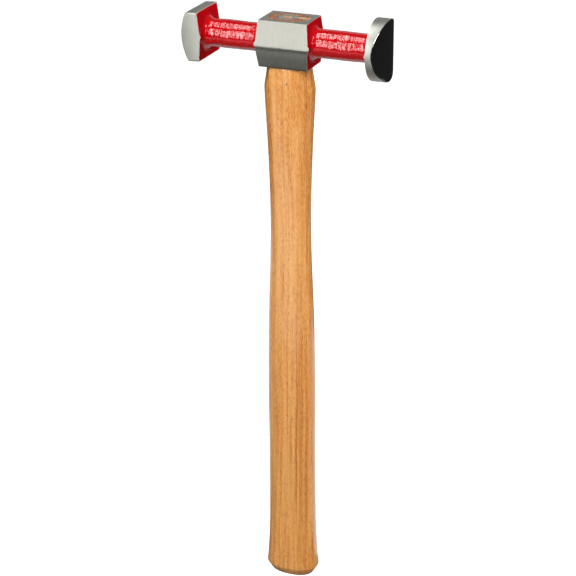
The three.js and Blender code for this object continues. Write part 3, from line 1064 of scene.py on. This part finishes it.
def ash_wood():
    wood = new_finish("varnished_ash")
    place = wood.place()
    x, y, z = wood.axes(place)
    rise = (z / MM).step(40, 290)      # 0 at the butt and 1 under the head

    # how deep in the tree a point lies, and where that is in its year
    bend = wood.grain(place, (24, 24, 150), 2, 0.5)
    wave = wood.grain(place, (5, 5, 34), 2, 0.55, (1, 4, 2))
    depth = (x * 0.93 + y * 0.37) / MM + (bend - 0.5) * 12 + (wave - 0.5) * 1.6
    ring = (depth / YEAR_WIDTH).fract()
    spring = ring.step(0.2, 0.8) * (1 - ring.step(0.8, 1.0))
    year = wood.grain(place, (4, 4, 140), 1, 0.5, (7, 7, 0)).step(0.35, 0.65)

    # fibres, the dashes of the vessels, slower changes of colour, and painted light on the left side
    fibre = wood.grain(place, (0.5, 0.5, 11), 3, 0.62)
    dash = wood.grain(place, (0.5, 0.5, 2.2), 2, 0.6, (2, 8, 3))
    pores = (dash + spring * 0.04 + rise * 0.05).step(0.49, 0.72)
    streak = wood.grain(place, (1.3, 1.3, 70), 2, 0.6, (9, 1, 4))
    broad = wood.grain(place, (7, 7, 120), 1, 0.5, (5, 1, 4))
    # painted light: the left side of the handle is made paler, as if the lamps lit it more than the
    # right
    painted_left_light = (x / MM).step(10, -3)
    tone = (streak - 0.5) * 2.8 + (broad - 0.5) * 1.0 + (fibre - 0.5) * 1.6 + painted_left_light * 0.3
    colour = wood.mix((0.55 - tone).clip(), wood.mix(rise, *PALE_ASH), wood.mix(rise, *DEEP_ASH))
    colour = wood.mix(spring * year * 0.8, colour, SPRING_TINT, "MULTIPLY")
    colour = wood.mix(pores * (0.55 + year * 0.45), colour, PORE_TINT, "MULTIPLY")

    # the two growth lines, only on the front and in the lower half
    late = depth - (bend - 0.5) * 9
    line = 1 - abs(late - LINE_AT).step(0.2, 0.6)
    twin = 1 - abs(late - TWIN_AT).step(0.2, 0.5)
    window = (z / MM).step(20, 60) * (1 - (z / MM).step(140, 190)) * (1 - (y / MM).step(-4, 0))
    heart = (line + twin * 0.6) * window * (0.3 + dash * 0.9)
    colour = wood.mix(heart.clip(), colour, LINE_TINT, "MULTIPLY")

    # the knot and the nick
    marks = wood.spot(x, y, z, KNOT_AT, KNOT_SIZE) + wood.spot(x, y, z, NICK_AT, NICK_SIZE)
    colour = wood.mix(marks.clip() * 0.8, colour, MARK_COLOUR)
    rough = 0.62 + (fibre - 0.5) * 0.15
    relief = wood.bump(fibre * 0.5 - pores * 0.6, 0.02)
    return wood.surface(Base_Color=colour, Roughness=rough, Normal=relief, Coat_Weight=1.0,
                        Coat_Roughness=0.09, Coat_IOR=1.6, IOR=1.4)


ash_finish = ash_wood()
print("made", ash_finish.name)

# %% [markdown]
# ## End grain
#
# On top of the head the wood is cut across. End grain drinks varnish and turns copper brown, and
# the growth rings show as curved lines. The wedge is a paler piece of wood, lying the other way.

# %% End grain and wedge wood
CUT_YEAR_WIDTH = 1.9                   # drawn closer on the cut ends than on the sides


def end_grain(name, light, dark, line_angle):
    wood = new_finish(name)
    place = wood.place()
    x, y, _ = wood.axes(place)
    bend = wood.grain(place, (6, 6, 30), 2, 0.5)
    depth = (x * math.cos(line_angle) + y * math.sin(line_angle)) / MM + (bend - 0.5) * 2.5
    ring = (depth / CUT_YEAR_WIDTH).fract()
    vessels = wood.grain(place, (0.32, 0.32, 4), 1, 0.5).step(0.52, 0.68)
    stain = wood.grain(place, (3.2, 3.2, 8), 3, 0.6, (4, 4, 0))
    colour = wood.mix(stain.step(0.36, 0.64), light, dark)
    shade = tuple(part * 0.35 for part in dark)
    colour = wood.mix(ring.step(0.55, 0.95) * 0.45 + vessels * 0.3, colour, shade)
    relief = wood.bump(1 - vessels, 0.05)
    return wood.surface(Base_Color=colour, Roughness=0.5, Normal=relief)


end_finish = end_grain("oiled_end_grain", (0.56, 0.25, 0.11), (0.27, 0.09, 0.04), 0.5)
wedge_finish = end_grain("pale_wedge_wood", (0.83, 0.56, 0.34), (0.62, 0.33, 0.16), 1.9)
print("made", end_finish.name, "and", wedge_finish.name)


# %% Ring steel
def ring_steel():
    steel = new_finish("wedge_steel")
    place = steel.place()
    fine = steel.grain(place, (0.4, 5, 5), 3, 0.6)
    colour = steel.mix(fine, (0.34, 0.36, 0.35), (0.56, 0.58, 0.56))
    relief = steel.bump(fine, 0.01)
    return steel.surface(Base_Color=colour, Metallic=1.0, Roughness=0.42, Normal=relief)


ring_finish = ring_steel()
print("made", ring_finish.name)

# %% [markdown]
# ## Give each piece its finish
#
# The head's faces already know which finish they belong to. The handle is varnished on its
# sides, and its faces that point straight up, on the tongue, are end grain.

# %% Finishes on the pieces
for polygon in handle.data.polygons:
    on_top = polygon.center.z > (BLOCK_CENTRE + BLOCK_HALF_HEIGHT - 0.5) * MM
    polygon.material_index = END_GRAIN if on_top and polygon.normal.z > 0.9 else SIDE_GRAIN
print("head finishes:", [slot.name for slot in head.material_slots])

# %% [markdown]
# ## Floor, lamps and sky
#
# The hammer stands on a plain pale floor. The floor is left out of mirrors, so that it can be
# bright while the steel and the undersides mirror something darker: a grey table under it, and
# two paler cards that nothing but mirrors show.
#
# The lamps come in two kinds. Strips are narrow soft boxes that are seen only in mirrors: they
# make the bright bands on the enamel, the varnish and the steel. Fills are broad and only light
# things. A real lamp does both at once, so this is a liberty, taken so that the bands and the
# wood's colour can be set one without the other. The sky is a dim grey, darker below the horizon.

# %% Studio
FLOOR_SIZE = 60
TABLE_SIZE = Vector((1.4, 1.26))
TABLE_MIDDLE = Vector((0, -0.03))
CARD_SIZE = Vector((0.90, 0.30))
BACK_CARD_MIDDLE = Vector((-0.10, 0.17))
FRONT_CARD_MIDDLE = Vector((-0.2, -0.46))
HEAD_AT = Vector((0, 0, HEAD_HEIGHT * MM))
ALONG_HEAD = Vector((1, 0, 0))


def plain(name, colour, roughness, glow=0):
    finish = new_finish(name)
    return finish.surface(Base_Color=colour, Roughness=roughness, Emission_Color=colour,
                          Emission_Strength=glow)


def sheet(name, width, depth, centre, finish):
    bm = bmesh.new()
    bmesh.ops.create_grid(bm, x_segments=1, y_segments=1, size=0.5)
    bmesh.ops.scale(bm, vec=(width, depth, 1), verts=bm.verts)
    bmesh.ops.translate(bm, vec=centre, verts=bm.verts)
    mesh = bpy.data.meshes.new(name)
    bm.to_mesh(mesh)
    bm.free()
    mesh.materials.append(finish)
    made = bpy.data.objects.new(name, mesh)
    scene.collection.objects.link(made)
    return made


def bearing(around, above):
    """A direction from two angles in degrees."""
    return on_sphere(math.radians(around), math.radians(above))


def mirrored(lift):
    """Where the necks mirror to the camera, at the place where they face the front but lifted."""
    seen_from = on_sphere(LOOK_AROUND, LOOK_DOWN)
    facing = bearing(0, lift)
    return 2 * facing.dot(seen_from) * facing - seen_from


def soft_box(name, direction, distance, width, height, strength, mirrored_only=True):
    """A lamp that faces the head. Strips are only seen in mirrors and fills only light things."""
    data = bpy.data.lights.new(name, "AREA")
    data.shape = "RECTANGLE"
    data.size = width
    data.size_y = height
    data.energy = strength * width * height * math.pi
    lamp = bpy.data.objects.new(name, data)
    across = (ALONG_HEAD - ALONG_HEAD.dot(direction) * direction).normalized()
    turned = Matrix((across, direction.cross(across), direction)).transposed().to_4x4()
    lamp.matrix_world = Matrix.Translation(HEAD_AT + direction * distance) @ turned
    lamp.visible_camera = False
    lamp.visible_glossy = mirrored_only
    lamp.visible_diffuse = not mirrored_only
    scene.collection.objects.link(lamp)
    return lamp


floor = sheet("floor", FLOOR_SIZE, FLOOR_SIZE, (0, 0, 0), plain("pale_floor", (0.9, 0.9, 0.9), 0.8, 0.9))
floor.visible_glossy = False
floor.visible_diffuse = False
floor.visible_shadow = False
table = sheet("table", TABLE_SIZE.x, TABLE_SIZE.y, (*TABLE_MIDDLE, -0.001),
              plain("grey_table", (0.17, 0.17, 0.165), 0.8))
back_card = sheet("back_card", CARD_SIZE.x, CARD_SIZE.y, (*BACK_CARD_MIDDLE, -0.0005),
                  plain("white_card", (0.54, 0.54, 0.54), 0.8, 1.0))
front_card = sheet("front_card", CARD_SIZE.x, CARD_SIZE.y, (*FRONT_CARD_MIDDLE, -0.0005),
                   plain("grey_card", (0.37, 0.37, 0.37), 0.8, 1.0))
for hidden in (table, back_card, front_card):
    hidden.visible_camera = False
    hidden.visible_shadow = False
back_card.visible_diffuse = False
front_card.visible_diffuse = False

# name, direction, distance, width, height, strength and, for a fill, that mirrors don't show it
soft_box("front strip", mirrored(20), 1.0, 0.23, 0.94, 15.0)
soft_box("overhead strip", mirrored(53), 1.0, 0.22, 0.76, 15.0)
soft_box("right strip", bearing(54, 27), 1.1, 0.20, 0.9, 11.0)
soft_box("back strip", bearing(190, 25), 1.2, 0.8, 0.5, 0.65)
soft_box("front fill", bearing(5, 36), 1.2, 1.0, 1.0, 6.6, mirrored_only=False)
soft_box("right fill", bearing(112, 5), 1.2, 1.0, 1.0, 3.0, mirrored_only=False)
soft_box("back box", bearing(170, 60), 1.2, 1.0, 0.5, 1.0, mirrored_only=False)

sky = Finish(bpy.data.worlds.new("sky"))
_, _, up = sky.axes(sky.add("ShaderNodeTexCoord", out="Generated"))
glow = sky.mix(up.step(-0.1, 0.5), (0.02, 0.02, 0.02), (0.09, 0.10, 0.10))
backdrop = sky.add("ShaderNodeBackground", inputs={"Color": glow, "Strength": 1.0})
sky.add("ShaderNodeOutputWorld", inputs={"Surface": backdrop})
scene.world = sky.owner
scene.view_settings.view_transform = "Standard"

# %% [markdown]
# ## Put the pieces in place
#
# Each piece stands for one measured piece, which it hides, and belongs to the one rigid body.

# %% Put the pieces in place
STANDS_FOR = [
    (head, "hammer_head", "head_steel"),
    (handle, "handle", "ash_handle"),
    (wedge, "wood_wedge", "wedge_wood"),
    (ring_piece, "ring_wedge", "ring_steel"),
]
for piece, node, slot in STANDS_FOR:
    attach(piece, "root")
    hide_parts(node)

bpy.context.view_layer.update()
